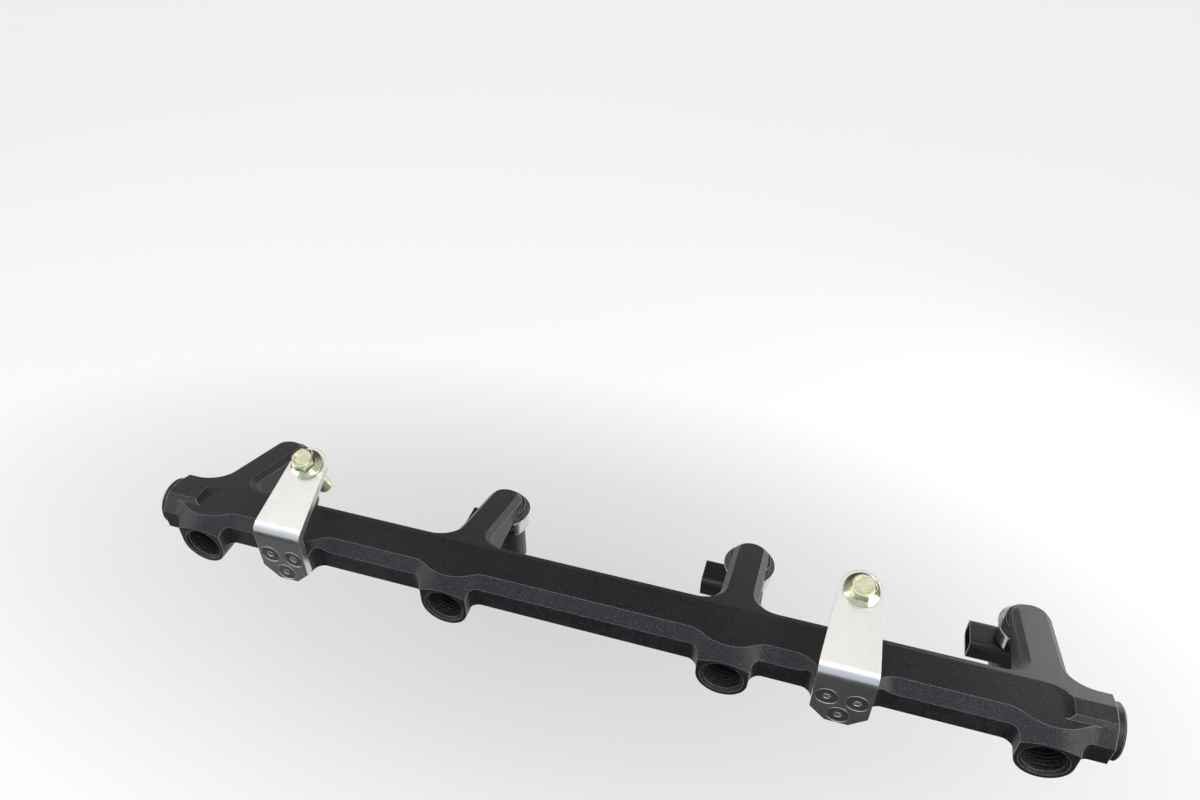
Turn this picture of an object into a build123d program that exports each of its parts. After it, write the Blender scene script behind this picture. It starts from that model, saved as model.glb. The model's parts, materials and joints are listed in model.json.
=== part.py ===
from build123d import *
import math
import os

# Fuel rail milled from one aluminium billet, with two bent sheet brackets and four clipped injectors.
# X runs along the main bore, +Y points from the rail to the injectors and +Z is square to the top face.
# The origin is on the axis of the main bore, where the thread of the first end port starts.
# All lengths are in millimetres and all angles in degrees.

# Rail section
port_count = 4
port_pitch = 105.5
rail_width = 20.5
top_height = 8.3
bottom_depth = 10.25
front_facet = 6.0
back_facet = 4.8
crease_y = 6.3

# Rail ends
neck_length = 19.0
neck_rise = 1.45
neck_edge_y = -4.5
pocket_reach = 2.9
pocket_corner = 7.0
pocket_cove = 4.5
collar_length = 2.8
collar_radius = 9.4
collar_edge = 0.6

# Front bosses, pads and the wavy chamfer above them
boss_width = 18.5
boss_reach = 14.75
boss_axis_drop = 4.75
boss_side_flat = 0.3
pad_width = 18.8
pad_bottom = 8.3
pad_corner = 5.4
pad_face_top = 5.95
port_lip = 0.95
crest_radius = 17.0
trough_radius = 9.0
chamfer_reach = 7.0

# Arms and injector cups
arm_width = 14.0
arm_length = 47.25
arm_tip_drop = 5.0
arm_root_radius = 8.0
arm_chamfer = 2.1
cup_radius = 8.2
cup_mouth_drop = 18.0
cup_bore_radius = 6.75
cup_bore_top = 11.0
cup_lead_in = 0.8
cup_feed_radius = 2.5
cup_feed_top = 8.4
cup_groove_radius = 7.6
cup_groove_top = 13.2

# Passages
main_bore_radius = 5.5
port_thread_radius = 6.8
port_thread_depth = 14.0
port_seat_radius = 7.8
cross_drill_radius = 1.6

# Brackets
bracket_offset = 40.25
bracket_count = 2
plate_thickness = 3.0
plate_width = 19.4
plate_bottom = 8.5
plate_corner = 5.7
plate_end_radius = 7.45
plate_shoulder = 25.5
bend_inner_radius = 2.2
bracket_slope = 21.0
seat_y = 9.65
seat_z = 28.05
slot_clearance = 0.3

# Bracket screws
screw_radius = 2.0
screw_head_radius = 3.9
screw_length = 10.0
screw_sink = 0.1
screw_circle_radius = 5.75
screw_circle_z = 1.7
screw_hole_depth = 7.6
screw_socket = 2.5
screw_socket_depth = 1.5

# Flange bolts
bolt_radius = 3.0
bolt_thread_radius = 2.8
bolt_length = 20.0
bolt_hex = 8.0
bolt_head_height = 6.0
bolt_hex_edge = 3.7
bolt_flange_radius = 6.2
bolt_flange_rim = 1.1
bolt_flange_rise = 1.0
bolt_dish_radius = 2.8
bolt_dish_depth = 0.4
bolt_point = 0.6

# Injectors, as radii and as distances below the axis of the main bore
inlet_top = 12.0
inlet_lip_radius = 6.3
inlet_lip = 0.8
tube_radius = 3.75
inlet_bore_radius = 2.0
inlet_bore_depth = 9.0
housing_top = 16.0
spigot_radius = 6.4
stop_top = 18.3
stop_radius = 7.9
clip_groove_top = 20.1
clip_groove_height = 1.2
clip_groove_radius = 6.6
housing_radius = 7.2
housing_taper_top = 40.0
housing_bottom = 44.0
housing_foot_radius = 5.8
nozzle_radius = 5.6
nozzle_groove_top = 50.0
nozzle_groove_height = 3.1
nozzle_bottom = 56.0
tip_radius = 4.0
tip_bottom = 58.5

# Injector connectors
plug_drop = 27.5
plug_reach = 18.0
plug_width = 13.0
plug_height = 9.4
plug_corner = 2.4
plug_wall = 1.3
plug_depth = 8.5
latch_width = 3.6
latch_rise = 1.6
latch_length = 4.0
latch_inset = 2.5

# Injector clips
clip_thickness = 0.8
clip_lip_radius = 10.2
clip_wall_radius = 9.2
clip_mouth_width = 12.6
clip_window_width = 6.0
clip_window_height = 3.4
clip_window_angle = 52.0

# Fit
fit_gap = 0.1

half_span = port_pitch * (port_count - 1) / 2
half_width = rail_width / 2
neck_reach = half_span + neck_length
collar_reach = neck_reach + collar_length
seat_depth = port_seat_radius - port_thread_radius
centre_x = collar_reach - seat_depth
port_x = [centre_x - half_span + port_pitch * index for index in range(port_count)]
bracket_x = [x + bracket_offset for x in port_x[:: port_count // bracket_count]]
front_foot = bottom_depth - front_facet
back_foot = bottom_depth - back_facet
edge_y = top_height - front_foot - half_width
arm_tangent = (top_height + arm_tip_drop) / (arm_length - crease_y)
boss_root_radius = boss_reach - half_width - boss_side_flat
crest_base = boss_reach - top_height + edge_y
boss_crest = crest_base + port_seat_radius + port_lip - boss_axis_drop
pad_crest = crest_base + pad_face_top
neck_top = top_height + neck_rise
screw_angles = (30, 150, 270)
beyond = 20.0
near = 0.01

os.makedirs("parts", exist_ok=True)


def write(node, name):
    """Label one finished piece and write it."""
    node.part.label = name
    export_step(node.part, f"parts/{name}.step")


def turned(axis_plane, outline):
    """Solid of revolution about the plane's second axis, from (radius, height) points."""
    with BuildPart() as piece:
        with BuildSketch(axis_plane):
            with BuildLine():
                Polyline(*outline, close=True)
            make_face()
        revolve(axis=Axis(axis_plane.origin, axis_plane.y_dir))
    return piece


# Waste above the wavy chamfer: its edge on the top face has a crest at every boss and pad
with BuildPart() as band_waste:
    with BuildSketch(Plane.XY.offset(top_height)) as wave:
        with Locations((centre_x, edge_y - beyond)):
            Rectangle(2 * neck_reach + 4 * beyond, 2 * beyond)
        with Locations([(x, edge_y - boss_crest + crest_radius) for x in port_x]):
            Circle(crest_radius, mode=Mode.SUBTRACT)
        with Locations([(x, edge_y - pad_crest + crest_radius) for x in bracket_x]):
            Circle(crest_radius, mode=Mode.SUBTRACT)
        hollows = wave.vertices().filter_by(lambda v: abs(v.Y - edge_y) < near and abs(v.X - centre_x) < neck_reach)
        fillet(hollows, trough_radius)
    extrude(amount=chamfer_reach, dir=(0, 0, -1), taper=45)

# Waste above the milled top face: it stops short of the ends in a coved wall with rounded back corners
pocket_back = crease_y + pocket_cove
with BuildPart() as pocket_waste:
    with BuildSketch(Plane.XY.offset(top_height)) as pocket_plan:
        with Locations((centre_x, (pocket_back - beyond) / 2)):
            Rectangle(2 * (half_span + pocket_reach + pocket_cove), pocket_back + beyond)
        fillet(pocket_plan.vertices().group_by(Axis.Y)[-1], pocket_corner + pocket_cove)
    extrude(amount=beyond)
    floor_rim = pocket_waste.faces().sort_by(Axis.Z)[0].edges().filter_by(lambda e: e.center().Y > near - beyond)
    fillet(floor_rim, pocket_cove)

# Walls and the 45 degree facets under them, upside down: front half with bosses and pads, back half with arm roots
with BuildPart() as walls:
    with BuildSketch(Plane.XY.offset(front_foot)) as front_plan:
        with Locations((centre_x, (crease_y - half_width) / 2)):
            Rectangle(2 * neck_reach + beyond, crease_y + half_width)
        with Locations([(x, -boss_reach / 2) for x in port_x]):
            Rectangle(boss_width, boss_reach)
        with Locations([(x, -boss_reach / 2) for x in bracket_x]):
            Rectangle(pad_width, boss_reach)
        roots = front_plan.vertices().filter_by(lambda v: abs(v.Y + half_width) < near and abs(v.X - centre_x) < neck_reach)
        fillet(roots, boss_root_radius)
    extrude(amount=front_facet, taper=45)
    extrude(front_plan.sketch, amount=-front_foot - top_height)
    with BuildSketch(Plane.XY.offset(back_foot)) as back_plan:
        with Locations((centre_x, (half_width + edge_y) / 2)):
            Rectangle(2 * neck_reach + beyond, half_width - edge_y)
        with Locations([(x, arm_length / 2) for x in port_x]):
            Rectangle(arm_width, arm_length)
        roots = back_plan.vertices().filter_by(lambda v: abs(v.Y - half_width) < near and abs(v.X - centre_x) < neck_reach)
        fillet(roots, arm_root_radius)
    extrude(amount=back_facet, taper=45)
    extrude(back_plan.sketch, amount=-back_foot - top_height)

with BuildPart() as rail_body:
    mirror(walls.part, about=Plane.XY)

    # Arms at full depth with their round tips
    with BuildSketch(Plane.XY.offset(-bottom_depth)):
        with Locations([(x, arm_length / 2) for x in port_x]):
            Rectangle(arm_width, arm_length)
        with Locations([(x, arm_length) for x in port_x]):
            Circle(arm_width / 2)
    extrude(amount=bottom_depth + top_height)

    # Bosses with round undersides, and pads with cut lower corners
    with BuildSketch(Plane.XZ):
        with Locations([(x, -boss_axis_drop) for x in port_x]):
            Circle(boss_width / 2)
    extrude(amount=boss_reach)
    with BuildSketch(Plane.XZ) as pads:
        with Locations([(x, (top_height - pad_bottom) / 2) for x in bracket_x]):
            Rectangle(pad_width, top_height + pad_bottom)
        chamfer(pads.vertices().group_by(Axis.Z)[0], pad_corner)
    extrude(amount=boss_reach)

    # Square ends
    with BuildSketch(Plane.YZ.offset(centre_x - neck_reach)):
        Rectangle(8 * beyond, 4 * beyond)
    extrude(amount=2 * neck_reach, mode=Mode.INTERSECT)

    # Slope of the arms, then its chamfered outline
    with BuildSketch(Plane.YZ.offset(centre_x - neck_reach)):
        slope_end = arm_length + arm_width
        with BuildLine():
            Polyline(
                (crease_y, top_height),
                (slope_end, top_height),
                (slope_end, top_height - (slope_end - crease_y) * arm_tangent),
                close=True,
            )
        make_face()
    extrude(amount=2 * neck_reach, mode=Mode.SUBTRACT)
    slope_normal = Vector(0, arm_tangent, 1).normalized()
    slope_faces = rail_body.faces().filter_by(lambda f: (f.normal_at() - slope_normal).length < near)
    outline = slope_faces.edges().filter_by(
        lambda e: e.center().Y > half_width - near and abs(e.center().X - centre_x) < neck_reach - near
    )
    chamfer(outline, arm_chamfer)

    # Raised faceted ends
    with BuildSketch(Plane.YZ.offset(centre_x - neck_reach)):
        with BuildLine():
            Polyline(
                (edge_y, top_height),
                (neck_edge_y, neck_top),
                (crease_y - neck_rise / arm_tangent, neck_top),
                (crease_y, top_height),
                close=True,
            )
        make_face()
    extrude(amount=2 * neck_reach)
    add(pocket_waste.part, mode=Mode.SUBTRACT)
    add(band_waste.part, mode=Mode.SUBTRACT)

    # Round collars on the ends
    for side in (-1, 1):
        with BuildSketch(Plane.YZ.offset(centre_x + side * collar_reach)):
            Circle(collar_radius)
        extrude(amount=-side * collar_length)
    rims = rail_body.edges().filter_by(GeomType.CIRCLE).filter_by(
        lambda e: abs(e.center().X - centre_x) > collar_reach - near
    )
    chamfer(rims, collar_edge)

    # Injector cups with the groove for the clip
    with BuildSketch(Plane.XY.offset(-cup_mouth_drop)):
        with Locations([(x, arm_length) for x in port_x]):
            Circle(cup_radius)
    extrude(amount=cup_mouth_drop - bottom_depth)
    with BuildSketch(Plane.XY.offset(-cup_groove_top)):
        with Locations([(x, arm_length) for x in port_x]):
            Circle(cup_radius + fit_gap)
            Circle(cup_groove_radius, mode=Mode.SUBTRACT)
    extrude(amount=-clip_thickness - 2 * fit_gap, mode=Mode.SUBTRACT)
    with BuildSketch(Plane.XY.offset(-cup_mouth_drop)):
        with Locations([(x, arm_length) for x in port_x]):
            Circle(cup_bore_radius)
    extrude(amount=cup_mouth_drop - cup_bore_top, mode=Mode.SUBTRACT)
    mouths = rail_body.edges().filter_by(GeomType.CIRCLE).filter_by(
        lambda e: abs(e.center().Z + cup_mouth_drop) < near and e.radius < cup_radius - near
    )
    chamfer(mouths, cup_lead_in)

    # Main bore, threaded ends and threaded front ports
    with BuildSketch(Plane.YZ.offset(-seat_depth)):
        Circle(main_bore_radius)
    extrude(amount=2 * collar_reach, mode=Mode.SUBTRACT)
    for side in (-1, 1):
        with BuildSketch(Plane.YZ.offset(centre_x + side * collar_reach)):
            Circle(port_thread_radius)
        extrude(amount=-side * port_thread_depth, mode=Mode.SUBTRACT)
    with BuildSketch(Plane.XZ.offset(boss_reach)):
        with Locations([(x, -boss_axis_drop) for x in port_x]):
            Circle(port_thread_radius)
    extrude(amount=-port_thread_depth, mode=Mode.SUBTRACT)
    seats = rail_body.edges().filter_by(GeomType.CIRCLE).filter_by(
        lambda e: abs(e.radius - port_thread_radius) < near
        and (abs(e.center().Y + boss_reach) < near or abs(abs(e.center().X - centre_x) - collar_reach) < near)
    )
    chamfer(seats, seat_depth)

    # Inclined drillings from the ports through the arms, each meeting the feed hole of its cup
    for x in port_x:
        drill_start = Vector(x, port_thread_depth - boss_reach, -boss_axis_drop)
        drill_end = Vector(x, arm_length, -cup_feed_top)
        with BuildSketch(Plane(drill_start, z_dir=drill_end - drill_start)):
            Circle(cross_drill_radius)
        extrude(amount=(drill_end - drill_start).length, mode=Mode.SUBTRACT)
        with BuildSketch(Plane.XY.offset(-cup_bore_top)):
            with Locations((x, arm_length)):
                Circle(cup_feed_radius)
        extrude(amount=cup_bore_top - cup_feed_top, mode=Mode.SUBTRACT)

    # Tapped holes in the pads
    with BuildSketch(Plane.XZ.offset(boss_reach)):
        for x in bracket_x:
            with Locations((x, screw_circle_z)):
                with PolarLocations(screw_circle_radius, len(screw_angles), start_angle=screw_angles[0]):
                    Circle(screw_radius + fit_gap)
    extrude(amount=-screw_hole_depth, mode=Mode.SUBTRACT)

write(rail_body, "rail_body")

# Brackets: sheet bolted to a pad, bent back over the rail
corner_y = -boss_reach - plate_thickness
slope_y = math.cos(math.radians(bracket_slope))
slope_z = math.sin(math.radians(bracket_slope))
corner_z = seat_z - (seat_y - corner_y) * math.tan(math.radians(bracket_slope))
bend_setback = plate_thickness * math.tan(math.radians(90 - bracket_slope) / 2)
end_y = seat_y + plate_end_radius * slope_y
end_z = seat_z + plate_end_radius * slope_z
sheet = [
    (corner_y, -plate_bottom),
    (corner_y, corner_z),
    (end_y, end_z),
    (end_y + plate_thickness * slope_z, end_z - plate_thickness * slope_y),
    (-boss_reach, corner_z - bend_setback),
    (-boss_reach, -plate_bottom),
]
for number, x in enumerate(bracket_x, start=1):
    seat = Plane((x, seat_y, seat_z), x_dir=(1, 0, 0), z_dir=(0, -slope_z, slope_y))
    face = Plane((x, corner_y, screw_circle_z), x_dir=(1, 0, 0), z_dir=(0, -1, 0))
    with BuildPart() as bracket:
        with BuildSketch(Plane.YZ.offset(x - plate_width / 2)):
            with BuildLine():
                Polyline(*sheet, close=True)
            make_face()
        extrude(amount=plate_width)
        bends = bracket.edges().filter_by(Axis.X)
        fillet(bends.sort_by_distance((x, -boss_reach, corner_z - bend_setback))[0], bend_inner_radius)
        bends = bracket.edges().filter_by(Axis.X)
        fillet(bends.sort_by_distance((x, corner_y, corner_z))[0], bend_inner_radius + plate_thickness)
        chamfer(bracket.edges().filter_by(Axis.Y).group_by(Axis.Z)[0], plate_corner)
        with BuildSketch(seat):
            with BuildLine():
                CenterArc((0, 0), plate_end_radius, 0, 360)
                Line((-plate_width / 2, -plate_shoulder), (plate_width / 2, -plate_shoulder))
            make_hull()
            with Locations((0, -plate_shoulder - beyond)):
                Rectangle(plate_width, 2 * beyond)
        extrude(amount=2 * beyond, both=True, mode=Mode.INTERSECT)
        with Locations(seat):
            Hole(bolt_radius + slot_clearance)
        with Locations(face):
            with PolarLocations(screw_circle_radius, len(screw_angles), start_angle=screw_angles[0]):
                CounterSinkHole(
                    screw_radius + slot_clearance,
                    screw_head_radius + screw_sink + fit_gap,
                    counter_sink_angle=90,
                )
    write(bracket, f"bracket_{number}")

    # Flange bolt through the upper end
    bolt_plane = Plane(seat.origin, x_dir=(1, 0, 0), z_dir=-seat.y_dir)
    flange_top = fit_gap + bolt_flange_rim
    head_top = fit_gap + bolt_head_height
    shank = [
        (0, -bolt_length),
        (bolt_thread_radius - bolt_point, -bolt_length),
        (bolt_thread_radius, bolt_point - bolt_length),
        (bolt_thread_radius, -plate_thickness - slot_clearance),
        (bolt_radius, -plate_thickness - slot_clearance),
        (bolt_radius, fit_gap),
        (bolt_flange_radius, fit_gap),
        (bolt_flange_radius, flange_top),
        (bolt_hex / 2, flange_top + bolt_flange_rise),
        (0, flange_top + bolt_flange_rise),
    ]
    with BuildPart() as bolt:
        add(turned(bolt_plane, shank).part)
        with BuildSketch(seat.offset(flange_top)):
            RegularPolygon(bolt_hex / 2, 6, major_radius=False)
        extrude(amount=head_top - flange_top)
        with BuildSketch(bolt_plane):
            with BuildLine():
                Polyline(
                    (bolt_hex_edge, head_top),
                    (bolt_hex, head_top - (bolt_hex - bolt_hex_edge) / 2),
                    (bolt_hex, head_top),
                    close=True,
                )
            make_face()
            with Locations((bolt_dish_radius / 2, head_top - bolt_dish_depth / 2)):
                Rectangle(bolt_dish_radius, bolt_dish_depth)
        revolve(axis=Axis(bolt_plane.origin, bolt_plane.y_dir), mode=Mode.SUBTRACT)
    write(bolt, f"bracket_bolt_{number}")

    # Countersunk screws through the lower end, numbered on from those of the bracket before
    for spot, angle in enumerate(screw_angles, start=1):
        screw_x = x + screw_circle_radius * math.cos(math.radians(angle))
        screw_z = screw_circle_z + screw_circle_radius * math.sin(math.radians(angle))
        screw_plane = Plane((screw_x, corner_y + screw_sink, screw_z), x_dir=(1, 0, 0), z_dir=(0, 0, 1))
        countersunk = [
            (0, 0),
            (screw_head_radius, 0),
            (screw_radius, screw_head_radius - screw_radius),
            (screw_radius, screw_length),
            (0, screw_length),
        ]
        with BuildPart() as screw:
            add(turned(screw_plane, countersunk).part)
            with BuildSketch(Plane(screw_plane.origin, x_dir=(1, 0, 0), z_dir=(0, -1, 0))):
                RegularPolygon(screw_socket / 2, 6, major_radius=False)
            extrude(amount=-screw_socket_depth, mode=Mode.SUBTRACT)
        write(screw, f"bracket_screw_{len(screw_angles) * (number - 1) + spot}")

# Injectors: steel core, plastic housing with its connector, two seals and the clip that holds the cup
core_outline = [
    (inlet_bore_radius, -inlet_top),
    (inlet_lip_radius, -inlet_top),
    (inlet_lip_radius, -inlet_top - inlet_lip),
    (tube_radius, -inlet_top - inlet_lip),
    (tube_radius, -housing_bottom - fit_gap),
    (nozzle_radius, -housing_bottom - fit_gap),
    (nozzle_radius, -nozzle_groove_top),
    (tube_radius, -nozzle_groove_top),
    (tube_radius, -nozzle_groove_top - nozzle_groove_height),
    (nozzle_radius, -nozzle_groove_top - nozzle_groove_height),
    (nozzle_radius, -nozzle_bottom),
    (tip_radius, -nozzle_bottom),
    (tip_radius, -tip_bottom),
    (0, -tip_bottom),
    (0, -inlet_top - inlet_bore_depth),
    (inlet_bore_radius, -inlet_top - inlet_bore_depth),
]
clip_groove_bottom = clip_groove_top + clip_groove_height
housing_outline = [
    (0, -housing_top),
    (spigot_radius, -housing_top),
    (spigot_radius, -stop_top),
    (stop_radius, -stop_top),
    (stop_radius, -clip_groove_top),
    (clip_groove_radius, -clip_groove_top),
    (clip_groove_radius, -clip_groove_bottom),
    (housing_radius, -clip_groove_bottom),
    (housing_radius, -housing_taper_top),
    (housing_foot_radius, -housing_bottom),
    (0, -housing_bottom),
]
seal_radius = (cup_bore_radius - tube_radius) / 2 - fit_gap
seal_centre = (cup_bore_radius + tube_radius) / 2
seal_drops = {
    "upper_oring": (inlet_top + inlet_lip + housing_top) / 2,
    "lower_oring": nozzle_groove_top + nozzle_groove_height / 2,
}
clip_top = cup_groove_top + fit_gap
clip_bottom = clip_groove_bottom - fit_gap
for number, x in enumerate(port_x, start=1):
    upright = Plane((x, arm_length, 0), x_dir=(1, 0, 0), z_dir=(0, -1, 0))
    core = turned(upright, core_outline)
    write(core, f"injector_core_{number}")

    plug_face = Plane((x - plug_reach, arm_length, -plug_drop), x_dir=(0, 1, 0), z_dir=(-1, 0, 0))
    with BuildPart() as housing:
        add(turned(upright, housing_outline).part)
        with BuildSketch(plug_face):
            RectangleRounded(plug_width, plug_height, plug_corner)
        extrude(amount=-plug_reach)
        with BuildSketch(plug_face.offset(-latch_inset)):
            with Locations((0, (plug_height + latch_rise) / 2)):
                Rectangle(latch_width, latch_rise)
        extrude(amount=-latch_length)
        with BuildSketch(plug_face):
            RectangleRounded(plug_width - 2 * plug_wall, plug_height - 2 * plug_wall, plug_corner - plug_wall)
        extrude(amount=-plug_depth, mode=Mode.SUBTRACT)
        with BuildSketch(Plane.XY.offset(-housing_bottom)):
            with Locations((x, arm_length)):
                Circle(tube_radius + fit_gap)
        extrude(amount=housing_bottom, mode=Mode.SUBTRACT)
    write(housing, f"injector_housing_{number}")

    for name, drop in seal_drops.items():
        with BuildPart() as seal:
            with BuildSketch(upright):
                with Locations((seal_centre, -drop)):
                    Circle(seal_radius)
            revolve(axis=Axis(upright.origin, upright.y_dir))
        write(seal, f"{name}_{number}")

    with BuildPart() as clip:
        with BuildSketch(Plane.XY.offset(-clip_bottom)):
            with Locations((x, arm_length)):
                Circle(clip_wall_radius)
                Circle(clip_groove_radius + fit_gap, mode=Mode.SUBTRACT)
        extrude(amount=clip_thickness)
        with BuildSketch(Plane.XY.offset(-clip_bottom)):
            with Locations((x, arm_length)):
                Circle(clip_wall_radius)
                Circle(clip_wall_radius - clip_thickness, mode=Mode.SUBTRACT)
        extrude(amount=clip_bottom - clip_top)
        with BuildSketch(Plane.XY.offset(-clip_top)):
            with Locations((x, arm_length)):
                Circle(clip_lip_radius)
                Circle(cup_groove_radius + fit_gap, mode=Mode.SUBTRACT)
        extrude(amount=-clip_thickness)
        with BuildSketch(Plane.XY.offset(-clip_bottom)):
            with Locations((x, arm_length - clip_lip_radius)):
                Rectangle(clip_mouth_width, 2 * clip_lip_radius)
        extrude(amount=clip_bottom - clip_top, mode=Mode.SUBTRACT)
        for angle in (clip_window_angle, 180 - clip_window_angle):
            outward = (math.cos(math.radians(angle)), math.sin(math.radians(angle)), 0)
            with BuildSketch(Plane((x, arm_length, -(clip_top + clip_bottom) / 2), z_dir=outward)):
                SlotOverall(clip_window_width, clip_window_height, rotation=90)
            extrude(amount=clip_lip_radius, mode=Mode.SUBTRACT)
    write(clip, f"injector_clip_{number}")
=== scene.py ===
import json
import math
import bpy
import bmesh
from mathutils import Matrix, Vector


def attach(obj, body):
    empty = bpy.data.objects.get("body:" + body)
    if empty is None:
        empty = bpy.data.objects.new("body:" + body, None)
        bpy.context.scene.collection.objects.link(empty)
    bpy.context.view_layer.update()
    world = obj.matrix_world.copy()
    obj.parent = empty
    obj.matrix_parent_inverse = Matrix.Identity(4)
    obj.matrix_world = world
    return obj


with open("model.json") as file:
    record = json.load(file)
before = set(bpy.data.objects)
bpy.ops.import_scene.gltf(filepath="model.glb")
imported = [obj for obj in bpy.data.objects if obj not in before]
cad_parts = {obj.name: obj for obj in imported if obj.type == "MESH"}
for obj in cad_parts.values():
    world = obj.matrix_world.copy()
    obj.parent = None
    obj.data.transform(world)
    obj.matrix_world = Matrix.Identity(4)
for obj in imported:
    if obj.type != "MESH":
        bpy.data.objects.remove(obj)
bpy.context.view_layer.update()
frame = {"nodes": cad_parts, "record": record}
bpy.context.scene.view_settings.view_transform = "Standard"

# One millimetre in metres, the unit of the scene
MM = 0.001

# Ports along the rail and their threads, in millimetres
PITCH = 105.5
CENTRE = 179.05
PORTS = [CENTRE + PITCH * (i - 1.5) for i in range(4)]
PORT_Z = -4.75
PORT_START = -13.0
END_START = 0.8
PORT_THREAD = {"wall": 6.8, "crest": 6.42, "lead": 1.41, "depth": 11.0, "slot": "anodised_body", "steps": 40}

# Bracket bolts: places of their seats, slope of the upper plate, and plain shank before the thread
BRACKETS = (61.05, 272.05)
BOLT_SEAT = (9.65, 28.05)
BOLT_SLOPE = math.radians(21.0)
BOLT_PLAIN = 4.0
BOLT_THREAD = {"wall": 2.8, "crest": 2.98, "lead": 1.0, "depth": 15.0, "slot": "bolts", "steps": 32}

# Contact blades in each injector's connector, from the port's place and the bore's axis
ARM_LENGTH = 47.25
BLADE_X = -12.25
BLADE_ROW = 2.4
BLADE_Z = -27.5
BLADE_SIZE = (7.5, 1.5, 0.7)
BLADE_BEVEL = 0.12

# Camera, fitted to the photograph: sensor and lens, axes, and its place in millimetres
SENSOR = 36.0
LENS = 27.515
NEAR_CLIP = 0.01
RIGHT = Vector((0.95547, 0.29507, -0.00197))
UP = Vector((-0.18425, 0.60182, 0.77709))
BACK = Vector((0.23048, -0.74212, 0.62939))
EYE = Vector((247.29, -206.14, 271.89))


def add_object(name, data):
    """New object in the scene."""
    obj = bpy.data.objects.new(name, data)
    bpy.context.scene.collection.objects.link(obj)
    return obj


cam_data = bpy.data.cameras.new("camera")
cam_data.sensor_width = SENSOR
cam_data.lens = LENS
cam_data.clip_start = NEAR_CLIP
cam = add_object("camera", cam_data)
cam.matrix_world = Matrix.Translation(EYE * MM) @ Matrix((RIGHT, UP, BACK)).transposed().to_4x4()
bpy.context.scene.camera = cam


# Node helpers

def nodes_of(name):
    """New material with its node tree and principled shader."""
    mat = bpy.data.materials.new(name)
    mat.use_nodes = True
    tree = mat.node_tree
    shader = next(n for n in tree.nodes if n.type == "BSDF_PRINCIPLED")
    return mat, tree, shader


def feed(tree, value, socket):
    """Links another node's output to a socket, or sets a plain value on it."""
    if isinstance(value, bpy.types.NodeSocket):
        tree.links.new(value, socket)
    else:
        socket.default_value = value


def compute(tree, operation, *values):
    """Result of a math node."""
    node = tree.nodes.new("ShaderNodeMath")
    node.operation = operation
    for value, socket in zip(values, node.inputs):
        feed(tree, value, socket)
    return node.outputs["Value"]


def compute_vector(tree, operation, *values):
    """Vector math node whose result is read from one of its outputs."""
    node = tree.nodes.new("ShaderNodeVectorMath")
    node.operation = operation
    for value, socket in zip(values, node.inputs):
        feed(tree, value, socket)
    return node


def blend(tree, kind, factor, first, second):
    """Mix of two numbers, with kind FLOAT, or of two colours, with kind RGBA."""
    node = tree.nodes.new("ShaderNodeMix")
    node.data_type = kind
    a, b, result = {"FLOAT": (2, 3, 0), "RGBA": (6, 7, 2)}[kind]
    feed(tree, factor, node.inputs["Factor"])
    feed(tree, first, node.inputs[a])
    feed(tree, second, node.inputs[b])
    return node.outputs[result]


def position(tree, scale=(1, 1, 1)):
    """Object coordinates in millimetres, scaled by a vector."""
    coord = tree.nodes.new("ShaderNodeTexCoord")
    mapping = tree.nodes.new("ShaderNodeMapping")
    mapping.inputs["Scale"].default_value = [s / MM for s in scale]
    tree.links.new(coord.outputs["Object"], mapping.inputs["Vector"])
    return mapping.outputs["Vector"]


def noise(tree, vector, scale, detail=3.0, rough=0.55):
    """Noise field, with its scale as waves a millimetre."""
    node = tree.nodes.new("ShaderNodeTexNoise")
    node.inputs["Scale"].default_value = scale
    node.inputs["Detail"].default_value = detail
    node.inputs["Roughness"].default_value = rough
    tree.links.new(vector, node.inputs["Vector"])
    return node.outputs["Fac"]


def ramp(tree, fac, stops):
    """Colour ramp through stops, each a place and a colour or a grey."""
    node = tree.nodes.new("ShaderNodeValToRGB")
    elements = node.color_ramp.elements
    while len(elements) < len(stops):
        elements.new(0.5)
    for element, (at, value) in zip(elements, stops):
        element.position = at
        element.color = (*value, 1.0) if isinstance(value, tuple) else (value, value, value, 1.0)
    tree.links.new(fac, node.inputs["Fac"])
    return node.outputs["Color"]


def bump(tree, shader, height, strength, distance, normal=None):
    """Relief from a height field, over a given normal."""
    node = tree.nodes.new("ShaderNodeBump")
    node.inputs["Strength"].default_value = strength
    node.inputs["Distance"].default_value = distance * MM
    tree.links.new(height, node.inputs["Height"])
    tree.links.new(node.outputs["Normal"], shader.inputs["Normal"])
    if normal is not None:
        tree.links.new(normal, node.inputs["Normal"])


def worn_and_highlit_edges(tree, shader, colour, rough, radius, light, matt):
    """Rounds the shaded edges, lightens and dulls the surface along them as wear and as a painted highlight,
    and gives the rounded normal.
    """
    soft = tree.nodes.new("ShaderNodeBevel")
    soft.samples = 8
    soft.inputs["Radius"].default_value = radius * MM
    flat = tree.nodes.new("ShaderNodeNewGeometry")
    turn = compute_vector(tree, "DOT_PRODUCT", soft.outputs["Normal"], flat.outputs["Normal"])
    line = ramp(tree, turn.outputs["Value"], [(0.90, 1.0), (0.985, 0.0)])
    # Base colour lightened along the edges: partly wear, partly painted highlight
    tree.links.new(blend(tree, "RGBA", line, colour, (*light, 1.0)), shader.inputs["Base Color"])
    tree.links.new(blend(tree, "RGBA", line, rough, (matt, matt, matt, 1.0)), shader.inputs["Roughness"])
    return soft.outputs["Normal"]


# Materials

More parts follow.
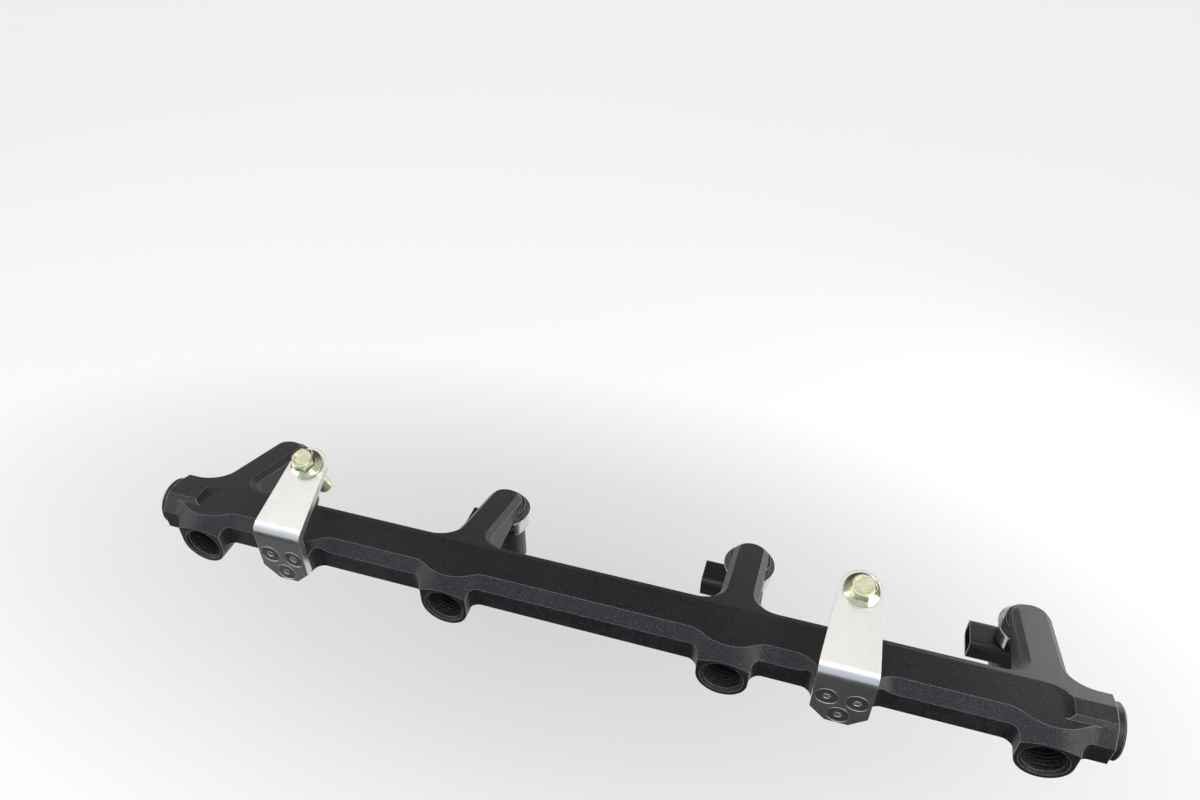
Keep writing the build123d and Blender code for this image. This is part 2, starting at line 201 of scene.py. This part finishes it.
def bore_shade_mask(tree):
    """One inside the threaded ports and the main bore, nought elsewhere: the mask of the painted shade in
    them.
    """
    margin = 0.04
    bore_reach = PORT_THREAD["wall"] + margin
    port_middle = -7.2
    port_half = 7.0
    end_half = CENTRE + 0.5
    place = tree.nodes.new("ShaderNodeSeparateXYZ")
    tree.links.new(position(tree), place.inputs[0])
    x, y, z = place.outputs
    first_port = compute(tree, "WRAP", x, PORTS[0] + PITCH / 2, PORTS[0] - PITCH / 2)
    inside = []
    for across, centre, along, middle, half in (
        ((first_port, z), (PORTS[0], PORT_Z), y, port_middle, port_half),
        ((y, z), (0.0, 0.0), x, CENTRE, end_half),
    ):
        flat = tree.nodes.new("ShaderNodeCombineXYZ")
        tree.links.new(across[0], flat.inputs["X"])
        tree.links.new(across[1], flat.inputs["Y"])
        radius = compute_vector(tree, "DISTANCE", flat.outputs[0], (*centre, 0.0)).outputs["Value"]
        near = compute(tree, "LESS_THAN", radius, bore_reach)
        within = compute(tree, "COMPARE", along, middle, half)
        inside.append(compute(tree, "MULTIPLY", near, within))
    return compute(tree, "MAXIMUM", *inside)


def anodised():
    """Black anodised aluminium: blasted grain with pale specks painted in as glints over long milling marks.
    """
    mat, tree, shader = nodes_of("anodised_body")
    fine = noise(tree, position(tree), 1.7, 3.0, 0.75)
    milled = noise(tree, position(tree, (0.12, 1, 1)), 2.2, 3.0, 0.6)
    cloud = noise(tree, position(tree), 0.035, 2.0, 0.5)
    grain = blend(tree, "FLOAT", 0.25, fine, milled)
    tone = blend(tree, "FLOAT", 0.25, grain, cloud)
    # Painted shade: inside the ports and the main bore the tone drops to nought, the darkest dye and
    # roughest finish
    tone = blend(tree, "FLOAT", bore_shade_mask(tree), tone, 0.0)
    dye = ramp(tree, tone, [
        (0.0, (0.001, 0.001, 0.0011)),
        (0.32, (0.003, 0.0032, 0.0037)),
        (0.5, (0.008, 0.0082, 0.009)),
        (0.68, (0.026, 0.026, 0.027)),
    ])
    # Painted glints: pale specks scattered over the dye
    painted_glint_specks = ramp(tree, noise(tree, position(tree), 2.3, 1.0, 0.5), [(0.54, 0.0), (0.74, 1.0)])
    colour = blend(tree, "RGBA", painted_glint_specks, dye, (0.05, 0.053, 0.06, 1.0))
    rough = ramp(tree, tone, [(0.0, 0.75), (0.25, 0.36), (0.7, 0.44)])
    # Pale edges on the black anodising: worn edges and a painted highlight
    normal = worn_and_highlit_edges(tree, shader, colour, rough, radius=0.35, light=(0.4, 0.39, 0.37), matt=0.34)
    shader.inputs["IOR"].default_value = 1.46
    bump(tree, shader, grain, 0.5, 0.06, normal)
    return mat


def steel(name, colour, rough, grain, relief, along=(1, 1, 1), edge=0.3):
    """Bare metal with a directional or even grain and worn edges, lightened partly as wear and partly as a
    painted highlight.
    """
    mat, tree, shader = nodes_of(name)
    line = noise(tree, position(tree, along), grain, 4.0, 0.65)
    cloud = noise(tree, position(tree), 0.25, 2.0, 0.5)
    tone = blend(tree, "FLOAT", 0.3, line, cloud)
    dark = tuple(0.86 * c for c in colour)
    # Edge colour, lighter than the metal: wear along the edges and a painted highlight
    light = tuple(min(1.0, 1.3 * c) for c in colour)
    base = ramp(tree, tone, [(0.3, dark), (0.65, colour)])
    gloss = ramp(tree, tone, [(0.3, rough[0]), (0.7, rough[1])])
    normal = worn_and_highlit_edges(tree, shader, base, gloss, edge, light, matt=0.45)
    shader.inputs["Metallic"].default_value = 1.0
    bump(tree, shader, line, relief, 0.03, normal)
    return mat


def plated():
    """Zinc plating with a pale yellow and green tint that drifts over the head."""
    mat, tree, shader = nodes_of("bolts")
    drift = noise(tree, position(tree), 0.3, 2.0, 0.5)
    fine = noise(tree, position(tree), 5.0, 3.0, 0.6)
    tint = ramp(tree, drift, [
        (0.32, (0.7, 0.67, 0.57)),
        (0.47, (0.72, 0.69, 0.47)),
        (0.58, (0.55, 0.62, 0.44)),
        (0.7, (0.7, 0.62, 0.57)),
    ])
    rough = ramp(tree, fine, [(0.3, 0.14), (0.7, 0.26)])
    # Pale zinc edges: wear and a painted highlight
    normal = worn_and_highlit_edges(tree, shader, tint, rough, radius=0.3, light=(0.85, 0.84, 0.56), matt=0.4)
    shader.inputs["Metallic"].default_value = 1.0
    bump(tree, shader, fine, 0.12, 0.03, normal)
    return mat


def moulded(name, base, rough, grain, relief):
    """Moulded plastic or rubber with a faint texture."""
    mat, tree, shader = nodes_of(name)
    fine = noise(tree, position(tree), grain, 3.0, 0.6)
    cloud = noise(tree, position(tree), 0.12, 2.0, 0.5)
    tone = blend(tree, "FLOAT", 0.5, fine, cloud)
    tree.links.new(ramp(tree, tone, [(0.3, base), (0.7, 1.6 * base)]), shader.inputs["Base Color"])
    tree.links.new(ramp(tree, tone, [(0.3, rough[0]), (0.7, rough[1])]), shader.inputs["Roughness"])
    bump(tree, shader, fine, relief, 0.04)
    return mat


MATS = {
    "anodised_body": anodised(),
    "brackets": steel("brackets", (0.86, 0.85, 0.82), rough=(0.26, 0.4), grain=4.5, relief=0.12),
    "screws": steel("screws", (0.62, 0.62, 0.6), rough=(0.2, 0.34), grain=4.0, relief=0.08, edge=0.5),
    "bolts": plated(),
    "injector_steel": steel(
        "injector_steel", (0.62, 0.61, 0.6), rough=(0.2, 0.34), grain=2.5, relief=0.08, along=(1, 1, 6)
    ),
    "injector_plastic": moulded("injector_plastic", 0.011, rough=(0.3, 0.42), grain=4.0, relief=0.12),
    "seals": moulded("seals", 0.012, rough=(0.5, 0.62), grain=3.0, relief=0.1),
    "clips": steel("clips", (0.8, 0.8, 0.79), rough=(0.16, 0.28), grain=3.0, relief=0.06),
}

slots = {s["node"]: s["material_slot"] for s in frame["record"]["subparts"]}
for node, obj in frame["nodes"].items():
    if obj.data.materials:
        for i in range(len(obj.data.materials)):
            obj.data.materials[i] = MATS[slots[node]]
    else:
        obj.data.materials.append(MATS[slots[node]])


# Pieces that the solids leave out

def rail_piece(name, data, slot):
    """Object that rides on the rail with the finish of a slot."""
    data.materials.append(MATS[slot])
    obj = add_object(name, data)
    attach(obj, "root")


def thread(name, origin, inward, side, wall, crest, lead, depth, slot, steps):
    """Helical ridge on the wall of a hole or shank, tapered out over its first and last part turn."""
    root_half, crest_half = 0.46, 0.07
    sunk = 0.02
    taper = 0.4 * steps
    inward = Vector(inward)
    side = Vector(side)
    third = inward.cross(side)
    root = wall + math.copysign(sunk, wall - crest)
    profile = [(root, -root_half), (crest, -crest_half), (crest, crest_half), (root, root_half)]
    count = int(depth / lead * steps)
    verts = []
    for k in range(count + 1):
        turn = k / steps
        angle = 2 * math.pi * turn
        fade = min(1.0, k / taper, (count - k) / taper)
        spoke = side * math.cos(angle) + third * math.sin(angle)
        for radius, shift in profile:
            reach = root + (radius - root) * fade
            point = Vector(origin) + inward * ((turn + shift) * lead) + spoke * reach
            verts.append(point * MM)
    faces = []
    for k in range(count):
        for j in range(len(profile) - 1):
            a = len(profile) * k + j
            b = a + len(profile)
            faces.append((a, a + 1, b + 1, b))
    data = bpy.data.meshes.new(name)
    data.from_pydata(verts, [], faces)
    data.update()
    for face in data.polygons:
        face.use_smooth = True
    rail_piece(name, data, slot)


def blade(name, middle, size, slot):
    """Small bevelled blade."""
    bm = bmesh.new()
    bmesh.ops.create_cube(bm, size=1.0)
    for v in bm.verts:
        v.co = (Vector(middle) + Vector(size) * v.co) * MM
    bmesh.ops.bevel(bm, geom=bm.edges[:], offset=BLADE_BEVEL * MM, segments=2, affect="EDGES", profile=0.5)
    data = bpy.data.meshes.new(name)
    bm.to_mesh(data)
    bm.free()
    rail_piece(name, data, slot)


for i, x in enumerate(PORTS, 1):
    thread(f"port_thread_{i}", (x, PORT_START, PORT_Z), (0, 1, 0), (1, 0, 0), **PORT_THREAD)
thread("end_thread_left", (END_START, 0, 0), (1, 0, 0), (0, 1, 0), **PORT_THREAD)
thread("end_thread_right", (2 * CENTRE - END_START, 0, 0), (-1, 0, 0), (0, 1, 0), **PORT_THREAD)

shank = Vector((0, math.sin(BOLT_SLOPE), -math.cos(BOLT_SLOPE)))
for i, x in enumerate(BRACKETS, 1):
    thread(f"bolt_thread_{i}", Vector((x, *BOLT_SEAT)) + shank * BOLT_PLAIN, shank, (1, 0, 0), **BOLT_THREAD)

for i, x in enumerate(PORTS, 1):
    for j, y in enumerate((-BLADE_ROW, BLADE_ROW), 1):
        blade(f"contact_{i}_{j}", (x + BLADE_X, ARM_LENGTH + y, BLADE_Z), BLADE_SIZE, "injector_steel")


# Stage, in millimetres: pale floor with a patch of painted shade, that isn't seen from below, and black
# cards outside the picture's edges

FLOOR_Z = -200.0
FLOOR_CORNERS = ((-3000, -3000), (3000, -3000), (3000, 4000), (-3000, 4000))
CARD_LENGTH = 4000.0
CARD_LIFT = 1.0
FRONT_EDGE = -61.0
LEFT_EDGE = -182.0
LEFT_LINE = Vector((0.717, 0.697))


def floor_material():
    """White floor with a soft grey patch of painted shade round the rail, seen lit by camera, metal and
    glass, that keeps the shadow.
    """
    painted_shade_centre = (122.0, 152.0)
    painted_shade_reach = (520.0, 230.0)
    glow = 0.75
    mat, tree, shader = nodes_of("floor")
    spread = tree.nodes.new("ShaderNodeMapping")
    spread.inputs["Scale"].default_value = [1 / (MM * reach) for reach in painted_shade_reach] + [0.0]
    place = tree.nodes.new("ShaderNodeTexCoord")
    tree.links.new(place.outputs["Object"], spread.inputs["Vector"])
    centre = [c / reach for c, reach in zip(painted_shade_centre, painted_shade_reach)] + [0.0]
    distance = compute_vector(tree, "DISTANCE", spread.outputs["Vector"], centre).outputs["Value"]
    # Painted shade round the rail: the floor is greyer towards the patch's centre
    shade = ramp(tree, distance, [(0.0, 0.66), (0.45, 0.77), (1.0, 1.0)])
    tree.links.new(shade, shader.inputs["Base Color"])
    shader.inputs["Roughness"].default_value = 0.9
    white = tree.nodes.new("ShaderNodeEmission")
    tree.links.new(shade, white.inputs["Color"])
    path = tree.nodes.new("ShaderNodeLightPath")
    seen = path.outputs["Is Camera Ray"]
    for ray in ("Is Glossy Ray", "Is Transmission Ray"):
        seen = compute(tree, "MAXIMUM", seen, path.outputs[ray])
    above = tree.nodes.new("ShaderNodeMixShader")
    tree.links.new(compute(tree, "MULTIPLY", seen, glow), above.inputs["Fac"])
    tree.links.new(shader.outputs[0], above.inputs[1])
    tree.links.new(white.outputs[0], above.inputs[2])
    clear = tree.nodes.new("ShaderNodeBsdfTransparent")
    facing = tree.nodes.new("ShaderNodeNewGeometry")
    sides = tree.nodes.new("ShaderNodeMixShader")
    tree.links.new(facing.outputs["Backfacing"], sides.inputs["Fac"])
    tree.links.new(above.outputs[0], sides.inputs[1])
    tree.links.new(clear.outputs[0], sides.inputs[2])
    output = next(n for n in tree.nodes if n.type == "OUTPUT_MATERIAL")
    tree.links.new(sides.outputs[0], output.inputs["Surface"])
    return mat


def card_material():
    """Matt black card."""
    mat, tree, shader = nodes_of("card")
    shader.inputs["Base Color"].default_value = (0.03, 0.03, 0.03, 1.0)
    shader.inputs["Roughness"].default_value = 0.9
    return mat


def stage_plane(name, corners, height, material):
    """Flat piece of the stage."""
    data = bpy.data.meshes.new(name)
    data.from_pydata([(x * MM, y * MM, height * MM) for x, y in corners], [], [tuple(range(len(corners)))])
    data.materials.append(material)
    obj = add_object(name, data)
    return obj


def card(name, line, reach, height):
    """Black card past a line across the floor, seen in reflections only."""
    half = CARD_LENGTH / 2
    along = Vector((-line.y, line.x))
    corners = [
        line * (reach - depth) + along * side
        for depth, side in ((0.0, -half), (0.0, half), (half, half), (half, -half))
    ]
    obj = stage_plane(name, corners, height, card_black)
    obj.visible_camera = False
    obj.visible_diffuse = False
    obj.visible_shadow = False


stage_plane("floor", FLOOR_CORNERS, FLOOR_Z, floor_material())
card_black = card_material()
level = Vector(RIGHT[:2]).normalized()
card("front_card", Vector((-level.y, level.x)), FRONT_EDGE, FLOOR_Z + CARD_LIFT)
card("left_card", LEFT_LINE, LEFT_EDGE, FLOOR_Z + 2 * CARD_LIFT)


# World: dim room, pale near the horizon, with a softbox overhead and a cool one in front

DIM = (0.027, 0.027, 0.028)
PATCHES = (
    ((0.0, 0.48, 0.88), -0.2, 0.45, (0.045, 0.045, 0.045)),
    ((0.0, 0.0, -1.0), -0.27, -0.03, (0.58, 0.58, 0.58)),
    ((-0.2, -0.1, 0.97), 0.8, 0.93, (1.0, 0.985, 0.95)),
    ((-0.15, -0.8, 0.58), 0.72, 0.92, (0.52, 0.59, 0.72)),
)


def patch(tree, view, direction, start, end, colour):
    """Smooth patch of coloured light, as a function of the cosine from its direction."""
    turn = compute_vector(tree, "DOT_PRODUCT", view, Vector(direction).normalized())
    fade = tree.nodes.new("ShaderNodeMapRange")
    fade.interpolation_type = "SMOOTHSTEP"
    fade.inputs["From Min"].default_value = start
    fade.inputs["From Max"].default_value = end
    tree.links.new(turn.outputs["Value"], fade.inputs["Value"])
    tint = compute_vector(tree, "SCALE", colour)
    tree.links.new(fade.outputs["Result"], tint.inputs["Scale"])
    return tint.outputs["Vector"]


world = bpy.data.worlds.new("studio")
bpy.context.scene.world = world
world.use_nodes = True
sky_tree = world.node_tree
view = sky_tree.nodes.new("ShaderNodeTexCoord").outputs["Generated"]
sky = DIM
for light in PATCHES:
    sky = compute_vector(sky_tree, "ADD", sky, patch(sky_tree, view, *light)).outputs["Vector"]
background = next(n for n in sky_tree.nodes if n.type == "BACKGROUND")
sky_tree.links.new(sky, background.inputs["Color"])


# Lamps, with places and sizes in metres and power in watts

MIDDLE = (0.18, 0.0, 0.0)


def lamp(name, spot, aim, size, power):
    """Area lamp that points at a place and isn't seen by the camera."""
    data = bpy.data.lights.new(name, "AREA")
    data.shape = "RECTANGLE"
    data.size, data.size_y = size
    data.energy = power
    obj = add_object(name, data)
    obj.visible_camera = False
    obj.location = spot
    obj.rotation_euler = (Vector(aim) - Vector(spot)).to_track_quat("-Z", "Y").to_euler()


lamp("right_softbox", (0.85, -0.3, 0.5), MIDDLE, (0.5, 0.5), 4.0)
lamp("left_softbox", (-0.65, -0.35, 0.32), MIDDLE, (0.5, 0.5), 1.6)
lamp("front_strip", (0.1, -0.36, 0.68), MIDDLE, (1.1, 0.07), 1.0)
lamp("right_panel", (0.62, 0.33, 0.13), (0.34, 0.03, 0.0), (0.55, 0.4), 1.7)
lamp("left_panel", (-0.6, 0.32, 0.44), (0.0, 0.0, 0.0), (0.7, 0.36), 0.75)
